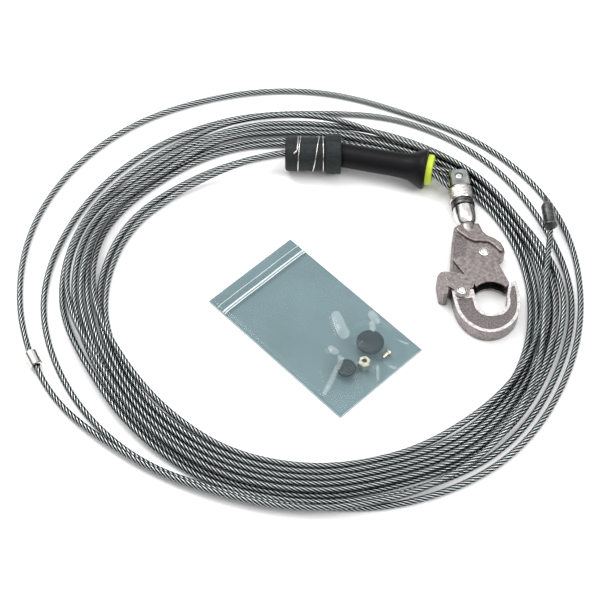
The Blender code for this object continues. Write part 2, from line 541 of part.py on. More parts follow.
def bag():
    """Two films, edge to edge, with the zip between them and the loose fittings inside."""
    half_l, half_w = BAG_LENGTH / 2, BAG_WIDTH / 2
    corners = [(-half_l, -half_w), (half_l, -half_w), (half_l, half_w), (-half_l, half_w)]
    place(to_mesh(plate([corners], 0, FILM)), "bag_back_film", FILM_CLEAR, BAG)
    bpy.ops.mesh.primitive_grid_add(x_subdivisions=20, y_subdivisions=12, size=1)
    front = bpy.context.object
    for v in front.data.vertices:
        v.co.x *= BAG_LENGTH
        v.co.y *= BAG_WIDTH
        v.co.z = bag_height(v.co.x, v.co.y)
    skin = front.modifiers.new("film", "SOLIDIFY")
    skin.thickness, skin.offset = FILM, 1
    place(front, "bag_front_film", FILM_CLEAR, BAG)
    half = half_w - 8 * MM
    groove = box((ZIP_X - 1.4 * MM, -half, FILM + GAP / 2), (ZIP_X + 1.4 * MM, half, 0.95 * MM))
    place(groove, "zip_groove", FILM_CLEAR, BAG)
    rib = box((ZIP_X - 0.6 * MM, -half, 1.15 * MM), (ZIP_X + 0.6 * MM, half, 1.6 * MM))
    place(rib, "zip_rib", FILM_CLEAR, BAG)
    floor = FILM + GAP / 2
    large = [(0, 9.6), (2.4, 9.6), (9.6, 9.2), (10.5, 8.4), (10.5, 6.4), (9.6, 5.8), (6.8, 5.6), (6.4, 0.6),
             (6, 0), (0, 0)]
    small = [(0, 7), (6.6, 6.8), (7.6, 6.2), (7.6, 4.6), (5, 4.2), (4.6, 0.4), (4.2, 0), (0, 0)]
    for name, profile, at in (("large_plug", large, PLUG_AT), ("small_plug", small, SMALL_PLUG_AT)):
        place(turned(mm(profile), 28), name, PLUG_BLACK, BAG, Matrix.Translation((*at, floor)))
    nut = [(2.1, 9), (4.4, 9), (5.4, 8.4), (5.4, 0.6), (4.6, 0), (2.1, 0)]
    place(turned(mm(nut), 6, closed=True), "hex_standoff", ZINC, BAG, Matrix.Translation((*STANDOFF_AT, floor)))
    screw = turned(mm([(0, 7), (1.3, 7), (1.5, 6.7), (1.5, 1.9), (2.8, 1.7), (2.8, 0.3), (2.4, 0), (0, 0)]), 16)
    lying = Matrix.Translation((SCREW_AT[0], SCREW_AT[1], floor + 2.8 * MM)) @ Matrix.Rotation(
        math.pi / 2, 4, "X")
    place(screw, "spare_screw", ZINC, BAG, lying)


# ---- build -------------------------------------------------------------------------------------------------
rope_coil()
rope_outer_turn()
rope_lead()
rope_tail()
rope_eye()
rope_fittings()
eye_thimble()
bumper()
hand_grip()
swivel()
hook_body()
swivel_housing()
snap_gate()
lock_lever()
rivets_and_springs()
bag()
for obj in PARTS.objects:
    if obj.parent is None:
        obj.matrix_basis = Matrix.Translation(TO_ORIGIN) @ obj.matrix_basis
    if obj.type == "MESH":
        obj.data.shade_smooth()
        obj.data.set_sharp_from_angle(angle=math.radians(35))
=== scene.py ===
"""Look of the wire rope lifeline: a coiled rope, its bumper, grip, swivel hook and ferrules, and its bag.

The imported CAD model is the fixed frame, in metres in its axes: +Z up, the ground at 0. The tables of shapes
are in millimetres and are scaled by MM where they are used.
"""
import json
import math

import bmesh
import bpy
import numpy as np
from mathutils import Matrix, Vector


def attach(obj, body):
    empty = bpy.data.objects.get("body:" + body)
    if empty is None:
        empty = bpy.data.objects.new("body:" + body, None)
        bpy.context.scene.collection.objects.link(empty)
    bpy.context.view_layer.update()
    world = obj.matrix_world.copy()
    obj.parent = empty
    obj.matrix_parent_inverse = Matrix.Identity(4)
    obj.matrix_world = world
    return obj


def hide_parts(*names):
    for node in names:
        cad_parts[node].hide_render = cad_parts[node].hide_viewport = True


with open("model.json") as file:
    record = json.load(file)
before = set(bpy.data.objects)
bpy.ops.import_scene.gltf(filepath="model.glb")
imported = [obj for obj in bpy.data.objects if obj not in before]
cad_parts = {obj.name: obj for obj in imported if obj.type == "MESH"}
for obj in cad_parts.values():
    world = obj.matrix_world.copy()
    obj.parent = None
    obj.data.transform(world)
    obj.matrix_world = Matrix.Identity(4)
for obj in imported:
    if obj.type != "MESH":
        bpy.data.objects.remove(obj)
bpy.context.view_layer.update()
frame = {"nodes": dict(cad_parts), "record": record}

NODES = frame["nodes"]
MM = 0.001

# ---- camera, floor and light -----------------------------------------------------------------------
LOOK_AT = Vector((2.5, -21, 0)) * MM
CAMERA_ELEVATION, CAMERA_DISTANCE, CAMERA_LENS = math.radians(55), 1.312, 102
SKY_STRENGTH = 0.95
# Grey of the studio's walls and ceiling against the sine of the height above the horizon
SKY = ((0.0, 0.25), (0.12, 0.12), (0.34, 0.25), (0.5, 1.0), (1.0, 1.0))
# name, place, side and power of each soft box
LIGHTS = (("key", (-0.9, 0.7, 1.6), 0.9, 17), ("fill", (1.3, -0.5, 1.5), 1.0, 14),
          ("top", (0, 0.3, 2.0), 1.4, 12))
FLOOR_GREY, FLOOR_ROUGHNESS, FLOOR_SIDE = (0.93, 0.93, 0.93), 0.9, 12


def studio():
    """The camera, the pale floor, three soft boxes and a grey sky."""
    camera = bpy.data.objects.new("camera", bpy.data.cameras.new("camera"))
    camera.data.lens = CAMERA_LENS
    camera.data.clip_start, camera.data.clip_end = 0.05, 20
    back = Vector((0, -math.cos(CAMERA_ELEVATION), math.sin(CAMERA_ELEVATION)))
    camera.location = LOOK_AT + back * CAMERA_DISTANCE
    camera.rotation_euler = (math.pi / 2 - CAMERA_ELEVATION, 0, 0)
    bpy.context.scene.collection.objects.link(camera)
    bpy.context.scene.camera = camera

    bpy.ops.mesh.primitive_plane_add(size=FLOOR_SIDE)
    floor = bpy.context.object
    floor.name = "floor"
    floor.data.materials.append(material("floor_white", FLOOR_GREY, FLOOR_ROUGHNESS)[0])

    for name, at, size, power in LIGHTS:
        data = bpy.data.lights.new(name, "AREA")
        data.shape, data.size, data.energy = "SQUARE", size, power
        light = bpy.data.objects.new(name, data)
        light.location = at
        light.rotation_euler = (LOOK_AT - Vector(at)).to_track_quat("-Z", "Y").to_euler()
        bpy.context.scene.collection.objects.link(light)
    world = bpy.data.worlds.new("studio")
    bpy.context.scene.world = world
    world.use_nodes = True
    tree = world.node_tree
    tree.nodes["Background"].inputs["Strength"].default_value = SKY_STRENGTH
    where = node(tree, "ShaderNodeTexCoord")
    split = node(tree, "ShaderNodeSeparateXYZ")
    tree.links.new(where.outputs["Generated"], split.inputs["Vector"])
    sky = ramp(tree, split.outputs["Z"], SKY)
    tree.links.new(sky, tree.nodes["Background"].inputs["Color"])
    bpy.context.scene.view_settings.view_transform = "Standard"


# ---- materials ---------------------------------------------------------------------------------------
def material(name, colour, roughness, metallic=0.0):
    """A new Principled material, with its node tree and its shader."""
    made = bpy.data.materials.new(name)
    made.use_nodes = True
    shader = made.node_tree.nodes["Principled BSDF"]
    shader.inputs["Base Color"].default_value = (*colour, 1)
    shader.inputs["Roughness"].default_value = roughness
    shader.inputs["Metallic"].default_value = metallic
    return made, made.node_tree, shader


def node(tree, kind, **settings):
    """A new shader node; each setting is one of its inputs or one of its properties."""
    made = tree.nodes.new(kind)
    for key, value in settings.items():
        if key in made.inputs:
            made.inputs[key].default_value = value
        else:
            setattr(made, key, value)
    return made


def grain(tree, scale, detail=4.0, stretch=(1, 1, 1)):
    """Noise in the piece's own coordinates; scale is per metre."""
    where = node(tree, "ShaderNodeTexCoord")
    mapping = node(tree, "ShaderNodeMapping")
    mapping.inputs["Scale"].default_value = stretch
    texture = node(tree, "ShaderNodeTexNoise", Scale=scale, Detail=detail)
    tree.links.new(where.outputs["Object"], mapping.inputs["Vector"])
    tree.links.new(mapping.outputs["Vector"], texture.inputs["Vector"])
    return texture.outputs["Fac"]


def ramp(tree, source, stops):
    """A colour ramp over (position, colour or grey) stops."""
    made = node(tree, "ShaderNodeValToRGB")
    elements = made.color_ramp.elements
    while len(elements) < len(stops):
        elements.new(0.5)
    for element, (at, value) in zip(elements, stops):
        element.position = at
        element.color = (*value, 1) if hasattr(value, "__len__") else (value, value, value, 1)
    tree.links.new(source, made.inputs["Fac"])
    return made.outputs["Color"]


def bump(tree, shader, height, strength, distance):
    """Relief from a grey value, put on the shader's normal."""
    made = node(tree, "ShaderNodeBump", Strength=strength, Distance=distance)
    tree.links.new(height, made.inputs["Height"])
    tree.links.new(made.outputs["Normal"], shader.inputs["Normal"])


def mottled(name, dark, light, roughness, metallic=0.0, scale=300, relief=(0.2, 0.0002), shine=0.5):
    """A surface whose colour and gloss vary in small patches."""
    made, tree, shader = material(name, light, roughness[0], metallic)
    shader.inputs["Specular IOR Level"].default_value = shine
    patches = grain(tree, scale)
    tree.links.new(ramp(tree, patches, ((0.3, dark), (0.7, light))), shader.inputs["Base Color"])
    gloss = ramp(tree, grain(tree, scale * 2.3), ((0.3, roughness[0]), (0.7, roughness[1])))
    tree.links.new(gloss, shader.inputs["Roughness"])
    bump(tree, shader, grain(tree, scale * 4, 6), *relief)
    return made


def rope_steel():
    """Strands with painted shade in their grooves and a painted highlight along their crests. The UV map runs
    round the strands in u and along the rope in v.
    """
    made, tree, shader = material("rope_steel", (0.5, 0.52, 0.52), 0.33, 1.0)
    uv = node(tree, "ShaderNodeUVMap", uv_map="UVMap")
    split = node(tree, "ShaderNodeSeparateXYZ")
    tree.links.new(uv.outputs["UV"], split.inputs["Vector"])
    strands = node(tree, "ShaderNodeMath", operation="MULTIPLY")
    strands.inputs[1].default_value = STRANDS
    tree.links.new(split.outputs["X"], strands.inputs[0])
    across = node(tree, "ShaderNodeMath", operation="FRACT")
    tree.links.new(strands.outputs["Value"], across.inputs[0])
    # Painted shade in the strands' grooves (dark ends of the ramp) and a painted highlight along their crests
    # (bright middle)
    strand_shade_and_highlight = ramp(tree, across.outputs["Value"],
                 ((0.0, (0.004, 0.006, 0.006)), (0.24, (0.04, 0.048, 0.048)), (0.41, (0.34, 0.37, 0.37)),
                  (0.5, (0.9, 0.92, 0.92)), (0.59, (0.34, 0.37, 0.37)), (0.76, (0.04, 0.048, 0.048)),
                  (1.0, (0.004, 0.006, 0.006))))
    tree.links.new(strand_shade_and_highlight, shader.inputs["Base Color"])
    tree.links.new(ramp(tree, grain(tree, 900), ((0.3, 0.25), (0.75, 0.45))), shader.inputs["Roughness"])
    return made


def film(name, colour, alpha):
    """Clear bag film: faintly tinted, glossy, with fine ripples."""
    made, tree, shader = material(name, colour, 0.1)
    shader.inputs["Alpha"].default_value = alpha
    shader.inputs["IOR"].default_value = 1.5
    tint = ramp(tree, grain(tree, 22, 2), ((0.35, colour), (0.7, tuple(c * 1.15 for c in colour))))
    tree.links.new(tint, shader.inputs["Base Color"])
    tree.links.new(ramp(tree, grain(tree, 60, 3), ((0.3, 0.06), (0.7, 0.16))), shader.inputs["Roughness"])
    bump(tree, shader, grain(tree, 90, 2, (0.4, 1, 1)), 0.12, 0.0006)
    return made


def finish_materials():
    """Makes the materials, gives each CAD node the one of its slot, and returns them by name."""
    looks = {
        "rope_steel": rope_steel(),
        "polished_steel": mottled("polished_steel", (0.62, 0.6, 0.58), (0.88, 0.87, 0.85), (0.1, 0.2), 1.0,
                                  150, (0.04, 0.0001)),
        # yoke_steel is a darker copy of the polished steel; its dark patches are painted reflections of a
        # dark surround
        "yoke_steel": mottled("yoke_steel", (0.24, 0.25, 0.25), (0.5, 0.51, 0.51), (0.12, 0.24), 1.0, 120),
        "dark_steel": mottled("dark_steel", (0.05, 0.054, 0.053), (0.16, 0.163, 0.158), (0.26, 0.45), 1.0),
        "forged_steel": mottled("forged_steel", (0.16, 0.139, 0.137), (0.33, 0.295, 0.29), (0.24, 0.4), 1.0,
                                420, (0.25, 0.00025)),
        # Rough, bumped cast surface for the forging's sunk flats; its darker colour is painted shade in the
        # recess
        "cast_web_recess_shade": mottled("cast_web_recess_shade", (0.08, 0.071, 0.07), (0.25, 0.225, 0.22), (0.38, 0.55), 1.0, 900,
                            (0.6, 0.0004)),
        # Pale steel: the own colour of the wires and the swivel's band, and a painted highlight on the hook's
        # rounded edges and raised bowl flats
        "pale_steel_and_painted_sheen": mottled("pale_steel_and_painted_sheen", (0.5, 0.47, 0.46), (0.8, 0.77, 0.76), (0.16, 0.3), 1.0, 400,
                             (0.1, 0.0001)),
        "bumper_rubber": mottled("bumper_rubber", (0.008, 0.012, 0.012), (0.018, 0.023, 0.022), (0.5, 0.7), 0,
                                 350, shine=0.25),
        "grip_black": mottled("grip_black", (0.003, 0.003, 0.0035), (0.007, 0.006, 0.0075), (0.38, 0.5), 0,
                              900, (0.25, 0.0001), 0.14),
        "lime_plastic": mottled("lime_plastic", (0.47, 0.6, 0.04), (0.58, 0.7, 0.07), (0.3, 0.4), shine=0.3),
        "plug_black": mottled("plug_black", (0.004, 0.007, 0.008), (0.009, 0.014, 0.016), (0.4, 0.5),
                              shine=0.2),
        "zinc": mottled("zinc", (0.55, 0.5, 0.36), (0.85, 0.8, 0.66), (0.16, 0.3), 1.0),
        "bag_film": film("bag_film", (0.18, 0.25, 0.27), 0.2),
        "bag_back": film("bag_back", (0.15, 0.235, 0.255), 0.86),
        # Paler, more opaque film for the high folds: a painted highlight of the soft boxes
        "bag_fold_highlight": film("bag_fold_highlight", (0.5, 0.58, 0.58), 0.34),
        "bag_weld": film("bag_weld", (0.66, 0.76, 0.77), 0.9),
        "zip_white": mottled("zip_white", (0.56, 0.64, 0.66), (0.75, 0.82, 0.83), (0.2, 0.3)),
    }
    slots = {part["node"]: part["material_slot"] for part in frame["record"]["subparts"]}
    for name, obj in NODES.items():
        obj.data.materials.clear()
        # The swivel's yoke takes the darker copy of the polished steel, with its painted dark reflections
        obj.data.materials.append(looks["yoke_steel" if name == "swivel_yoke" else slots[name]])
    return looks


# ---- shared geometry -----------------------------------------------------------------------------------
KNOT_STEPS = 40  # points between two knots of a smooth curve, before they are spaced evenly
SHARP_ANGLE, ROUNDED_ANGLE = math.radians(35), math.radians(32)
FLAT_ANGLE = math.radians(0.6)  # faces that meet at less count as one


def smooth(knots, step):
    """Points every step metres on a smooth curve through the knots."""
    p = np.array(knots, float)
    gap = np.linalg.norm(np.diff(p, axis=0), axis=1)[:, None]
    chord = np.diff(p, axis=0) / gap
    chord, gap = np.vstack([chord[:1], chord, chord[-1:]]), np.vstack([gap[:1], gap, gap[-1:]])
    slope = (chord[:-1] * gap[1:] + chord[1:] * gap[:-1]) / (gap[1:] + gap[:-1])
    t = np.linspace(0, 1, KNOT_STEPS, endpoint=False)[:, None]
    line = []
    for i in range(len(p) - 1):
        h = gap[i + 1]
        line.append((2 * t ** 3 - 3 * t ** 2 + 1) * p[i] + (t ** 3 - 2 * t ** 2 + t) * h * slope[i]
                    + (3 * t ** 2 - 2 * t ** 3) * p[i + 1] + (t ** 3 - t ** 2) * h * slope[i + 1])
    return spaced(np.vstack(line + [p[-1:]]), step)


def spaced(line, step):
    """The same line with its points about step metres apart."""
    along = np.concatenate([[0], np.cumsum(np.linalg.norm(np.diff(line, axis=0), axis=1))])
    at = np.linspace(0, along[-1], max(2, round(along[-1] / step) + 1))
    return np.stack([np.interp(at, along, k) for k in line.T], axis=1)


def link(obj, body, *looks):
    """Gives a piece its materials, puts it in the scene and lets it ride on a body."""
    for look in looks:
        obj.data.materials.append(LOOKS[look])
    if obj.name not in bpy.context.scene.collection.objects:
        bpy.context.scene.collection.objects.link(obj)
    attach(obj, body)
    return obj


def axis_frame(point, direction):
    """Axes at a point with local Z along a level direction and local Y up."""
    z = Vector(direction).normalized()
    x = Vector((0, 0, 1)).cross(z).normalized()
    return Matrix.Translation(point) @ Matrix((x, z.cross(x), z)).transposed().to_4x4()


def rounded(profile, radius, steps=3):
    """The profile with its corners rounded, as far as the neighbouring sides leave room."""
    out = []
    for i, here in enumerate(profile):
        before, after = profile[i - 1], profile[(i + 1) % len(profile)]
        here, before, after = (np.array(p, float) for p in (here, before, after))
        way_in, way_out = here - before, after - here
        cut = min(radius, np.linalg.norm(way_in) * 0.4, np.linalg.norm(way_out) * 0.4)
        if here[0] < 1e-6 or cut < 1e-3:
            out.append(tuple(here))
            continue
        a = here - way_in / np.linalg.norm(way_in) * cut
        b = here + way_out / np.linalg.norm(way_out) * cut
        for t in np.linspace(0, 1, steps + 1):
            out.append(tuple((1 - t) ** 2 * a + 2 * t * (1 - t) * here + t ** 2 * b))
    return out


def turned(name, profile, axes, sides=72, radius=0.5, wave=None):
    """A turned body about local Z from a closed profile of (radius, height) points in millimetres."""
    profile = rounded(profile, radius)
    shape = bmesh.new()
    rings = []
    for i in range(sides):
        a = math.tau * i / sides
        ring = []
        for r, z in profile:
            r += wave(a, z) if wave else 0
            ring.append(shape.verts.new((r * math.cos(a) * MM, r * math.sin(a) * MM, z * MM)))
        rings.append(ring)
    for i in range(sides):
        here, beside = rings[i], rings[(i + 1) % sides]
        for j in range(len(profile)):
            k = (j + 1) % len(profile)
            shape.faces.new((here[j], beside[j], beside[k], here[k]))
    bmesh.ops.remove_doubles(shape, verts=shape.verts, dist=1e-7)
    bmesh.ops.dissolve_degenerate(shape, edges=shape.edges, dist=1e-7)
    return finished(name, shape, axes)


def finished(name, shape, axes):
    """A mesh object from a bmesh, moved into its place, with its sharp edges kept."""
    bmesh.ops.recalc_face_normals(shape, faces=shape.faces)
    mesh = bpy.data.meshes.new(name)
    shape.to_mesh(mesh)
    shape.free()
    mesh.transform(axes)
    mesh.shade_smooth()
    mesh.set_sharp_from_angle(angle=SHARP_ANGLE)
    return bpy.data.objects.new(name, mesh)


def wire(name, points, radius, resolution=3, cyclic=False):
    """A round wire through points in metres, as a mesh."""
    curve = bpy.data.curves.new(name, "CURVE")
    curve.dimensions = "3D"
    curve.bevel_depth, curve.bevel_resolution, curve.use_fill_caps = radius, resolution, True
    spline = curve.splines.new("POLY")
    spline.points.add(len(points) - 1)
    for at, point in zip(spline.points, points):
        at.co = (*point, 1)
    spline.use_cyclic_u = cyclic
    return evaluated(bpy.data.objects.new(name, curve))


def evaluated(obj):
    """A mesh object with the shape that an object's curve or modifiers make, in its place."""
    name = obj.name
    obj.name = name + "_making"
    bpy.context.scene.collection.objects.link(obj)
    bpy.context.view_layer.update()
    graph = bpy.context.evaluated_depsgraph_get()
    mesh = bpy.data.meshes.new_from_object(obj.evaluated_get(graph), depsgraph=graph)
    mesh.transform(obj.matrix_world)
    bpy.data.objects.remove(obj, do_unlink=True)
    mesh.name = name
    shape = bmesh.new()
    shape.from_mesh(mesh)
    bmesh.ops.remove_doubles(shape, verts=shape.verts, dist=1e-6)
    bmesh.ops.recalc_face_normals(shape, faces=shape.faces)
    shape.to_mesh(mesh)
    shape.free()
    return bpy.data.objects.new(name, mesh)


def slab(name, outlines, low, high):
    """A flat body between two levels, in millimetres; outlines after the first are its holes."""
    curve = bpy.data.curves.new(name, "CURVE")
    curve.dimensions, curve.fill_mode, curve.extrude = "2D", "BOTH", (high - low) / 2 * MM
    for outline in outlines:
        spline = curve.splines.new("POLY")
        spline.points.add(len(outline) - 1)
        for at, (x, y) in zip(spline.points, outline):
            at.co = (x * MM, y * MM, 0, 1)
        spline.use_cyclic_u = True
    obj = bpy.data.objects.new(name, curve)
    obj.matrix_basis = Matrix.Translation((0, 0, (low + high) / 2 * MM))
    return evaluated(obj)


def combined(base, others, operation="UNION"):
    """Joins a mesh object with others, or cuts it by them, and drops them."""
    for other in others:
        bpy.context.scene.collection.objects.link(other)
        change = base.modifiers.new("combine", "BOOLEAN")
        change.operation, change.solver, change.object = operation, "EXACT", other
        base = evaluated(base)
        bpy.data.objects.remove(other, do_unlink=True)
    return base


def arc(centre, radius, count=40, start=0.0, sweep=360.0):
    """Points along a circle, or an arc that includes its last point; angles in degrees."""
    steps = count if abs(sweep) >= 360 else count - 1
    turn = np.radians(start + sweep * np.arange(count) / steps)
    return [(centre[0] + radius * math.cos(a), centre[1] + radius * math.sin(a)) for a in turn]


def edged(obj, axes, width, levels=(), segments=3):
    """Cleans a cut body and rounds its edges, which take its second material.

    Level flats take the material given for their height, in millimetres above and below the middle."""
    name = obj.name
    shape = bmesh.new()
    shape.from_mesh(obj.data)
    bpy.data.objects.remove(obj, do_unlink=True)
    bmesh.ops.dissolve_limit(shape, angle_limit=FLAT_ANGLE, verts=shape.verts, edges=shape.edges)
    for face in shape.faces:
        height = abs(face.calc_center_median().z) / MM
        found = [index for level, index in levels if abs(height - level) < 0.05 and abs(face.normal.z) > 0.99]
        face.material_index = found[0] if found else 0
    made = finished(name, shape, axes)
    rounding = made.modifiers.new("rounding", "BEVEL")
    rounding.width, rounding.segments = width * MM, segments
    rounding.limit_method, rounding.angle_limit = "ANGLE", ROUNDED_ANGLE
    rounding.material = 1
    rounding.harden_normals = True
    return made


# ---- rope ------------------------------------------------------------------------------------------------
ROPE_D, LAY_LENGTH, STRANDS = 4.8 * MM, 25 * MM, 6
RING_STEP = 2 * MM
# One strand of the section: (degrees from the strand's middle, radius in millimetres)
STRAND_SECTION = ((-30, 1.72), (-11, 2.33), (11, 2.33))
COIL_CENTRE = np.array((13.2, -21)) * MM
# The radius of its bends as the rope bridges what it lies on, and how far such a bend reaches
BRIDGE_RADIUS, BRIDGE_REACH = 0.35, 0.06
LAYING_BLOCK = 0.1  # metres of rope laid at a time
# From the swage sleeve through the grip and the bumper down to the ground, in millimetres
BUMPER_MIDDLE = (-9.5, 111.5, 16.6)
GRIP_START, GRIP_TURN = np.array((31.5, 111.5, 16.6)), math.radians(-12.5)
GRIP_WAY = np.array((math.cos(GRIP_TURN), math.sin(GRIP_TURN), 0))
SLEEVE_FACE = GRIP_START + GRIP_WAY * 47.7
LEAD = (SLEEVE_FACE, GRIP_START + GRIP_WAY * 30, GRIP_START + GRIP_WAY * 12, (24.5, 111.5, 16.6),
        BUMPER_MIDDLE, (-18.5, 111.4, 16.4), (-39.2, 107.2, 12.5), (-69.8, 96.6, 6.5), (-99.7, 79.3, 3.3))
# Then the coil, counter-clockwise, as radii in millimetres. The first turn starts where the lead meets the
# ground, with its own angles. Each row of TURNS is one turn from the back of the coil, with a radius every
# COLUMN degrees; the first row joins the turn that has begun.
COLUMN, COIL_BACK = 22.5, 90
FIRST_TURN = ((149.5, 155.5), (160, 158.4), (170, 159.3), (180, 159.5), (190, 158.5))
TURNS = (
    (155, 152, 151.3, 151.4, 153.9, 161.4, 165.1, 165.3, 164.6, 161.6, 152.9),
    (147.5, 147.2, 153.3, 162.5, 164.3, 159.9, 156.9, 156.2, 156.3, 158.8,
     166.3, 170, 170.2, 169.5, 166.5, 157.8),
    (152.5, 161.5, 167.3, 175.3, 168, 153.5, 147.3, 146.3, 146.5, 149,
     156.5, 167.6, 175.1, 174.4, 171.4, 162.7),
    (157.4, 166.4, 172.2, 180.2, 172.9, 164.8, 161.8, 161.1, 161.2, 163.7,
     171.2, 174.9, 180, 172, 169, 160.3),
    (162.3, 171.3, 169.8, 177.8, 177.8, 169.7, 166.7, 166, 166.1, 168.6,
     176.1, 179.8, 184.9, 179.3, 176.3, 167.6),
    (167.2, 176.2, 177.1, 185.2, 182.7, 174.6, 171.6, 170.9, 171, 173.5,
     181, 184.8, 189.8, 176.8, 173.8, 170),
    (172.1, 181.1, 183.4, 190.5, 187.8, 172.2, 169.2, 168.5, 168.6, 171.1,
     178.6, 182.3, 182.4, 174.4, 171.4, 165.2),
    (177, 186.2, 190.5, 196, 193, 179.8, 176.5, 175.8, 175.9, 180, 189, 192.3, 197.3, 194.5, 195, 193),
    (187, 193, 199, 204, 207, 199.8, 190.7, 180.7, 180.8, 188.8, 197, 199.8, 204.5, 209.6, 207, 202),
    (211, 220, 230, 232.5, 225.5, 213, 194.5, 184.5, 183.4, 183.5, 184.5, 178.7),
)
WIDER = 1.2  # added to those radii
LAST_STRETCH = ((352, 174.5), (364, 177))
TAIL_END = ((196.5, 21, 15.4), (198.5, 34, 16.2), (199, 37.5, 16.2))
STOP_FERRULE_AT = (193, 197.5)  # degrees on the last turn, where the rope runs through the ferrule
STOP_FERRULE_HEIGHT = 5.1 * MM
LAST_TURN_LENGTH = 1.2
PLAN_SOFTENING, HEIGHT_SOFTENING, TAIL_STRAIGHT = 8, 6, 10  # in points of the route, one every millimetre
DEGREE = 2.9  # millimetres that the rope travels in a degree


def coil_plan():
    """The coil's turns and the tail's start as seen from above."""
    knots = list(FIRST_TURN)
    start = COIL_BACK + 360 - COLUMN * len(TURNS[0])
    for radii in TURNS:
        knots += [(start + COLUMN * i, r) for i, r in enumerate(radii)]
        start += COLUMN * len(radii)
    knots += [(a + 360 * (len(TURNS) - 1), r) for a, r in LAST_STRETCH]
    line = smooth(np.array(knots, float) * (DEGREE, 1), 1.0)
    a, r = np.radians(line[:, 0] / DEGREE), (line[:, 1] + WIDER) * MM
    return np.stack([COIL_CENTRE[0] + r * np.cos(a), COIL_CENTRE[1] + r * np.sin(a)], axis=1)


def supports(plan, earlier, heights, neighbours):
    """Lowest height that each point may have over the earlier stretch of rope."""
    z = np.full(len(plan), ROPE_D / 2)
    for i, p in enumerate(plan):
        near = [j for dx in (-1, 0, 1) for dy in (-1, 0, 1)
                for j in neighbours.get((int(p[0] // ROPE_D) + dx, int(p[1] // ROPE_D) + dy), ())]
        if near:
            apart = ROPE_D ** 2 - ((earlier[near] - p) ** 2).sum(axis=1)
            over = apart > 0
            if over.any():
                z[i] = max(z[i], (heights[near][over] + np.sqrt(apart[over])).max())
    return z


def bridged(z, step):
    """The heights of a stiff rope that lies on those supports."""
    out = z.copy()
    for o in range(1, int(BRIDGE_REACH / step)):
        drop = (o * step) ** 2 / (2 * BRIDGE_RADIUS)
        out[o:] = np.maximum(out[o:], z[:-o] - drop)
        out[:-o] = np.maximum(out[:-o], z[o:] - drop)
    return out


def laid(plan, step, first):
    """Heights along a route laid turn by turn on the ground and over itself.

    first gives the heights of its first stretch, which hangs free."""
    z = np.full(len(plan), ROPE_D / 2)
    neighbours = {}
    block = int(LAYING_BLOCK / step)
    for start in range(0, len(plan), block):
        stop = min(start + block, len(plan))
        low = supports(plan[start:stop], plan, z, neighbours)
        before = z[max(0, start - block):start]
        z[start:stop] = bridged(np.concatenate([before, np.maximum(low, z[start:stop])]), step)[len(before):]
        # A block is laid on all but itself and the block before it, which it only continues
        for j in range(max(start - block, len(first)), start):
            neighbours.setdefault((int(plan[j, 0] // ROPE_D), int(plan[j, 1] // ROPE_D)), []).append(j)
    z = bridged(z, step)
    z[:len(first)] = np.maximum(z[:len(first)], first)
    return z


def softened(values, width):
    """A running mean, twice, that keeps the ends."""
    for _ in range(2):
        padded = np.concatenate([[values[0]] * width, values, [values[-1]] * width])
        values = np.convolve(padded, np.ones(2 * width + 1) / (2 * width + 1), "valid")
    return values


def rope_route():
    """The rope's centreline from the swage sleeve to the end ferrule."""
    step = 1 * MM
    lead = smooth(np.array(LEAD) * MM, step)
    plan = spaced(softened_plan(spaced(np.vstack([lead[:, :2], coil_plan(), np.array(TAIL_END)[:, :2] * MM]),
                                       step)), step)
    falling = np.linalg.norm(np.diff(lead[:, :2], axis=0), axis=1).cumsum()
    lead_heights = np.interp(np.arange(int(falling[-1] / step)) * step, falling, lead[1:, 2])
    z = laid(plan, step, lead_heights)
    from_end = (len(plan) - 1 - np.arange(len(plan))) * step
    angle = np.degrees(np.arctan2(*(plan - COIL_CENTRE).T[::-1])) % 360
    at_ferrule = (from_end < LAST_TURN_LENGTH) & (angle > STOP_FERRULE_AT[0]) & (angle < STOP_FERRULE_AT[1])
    z[at_ferrule] = np.maximum(z[at_ferrule], STOP_FERRULE_HEIGHT)
    z[-TAIL_STRAIGHT:] = TAIL_END[-1][2] * MM
    return np.column_stack([plan, softened(z, HEIGHT_SOFTENING)])


def softened_plan(plan):
    """Rounds off the joins between the route's stretches."""
    return np.stack([softened(k, PLAN_SOFTENING) for k in plan.T], axis=1)


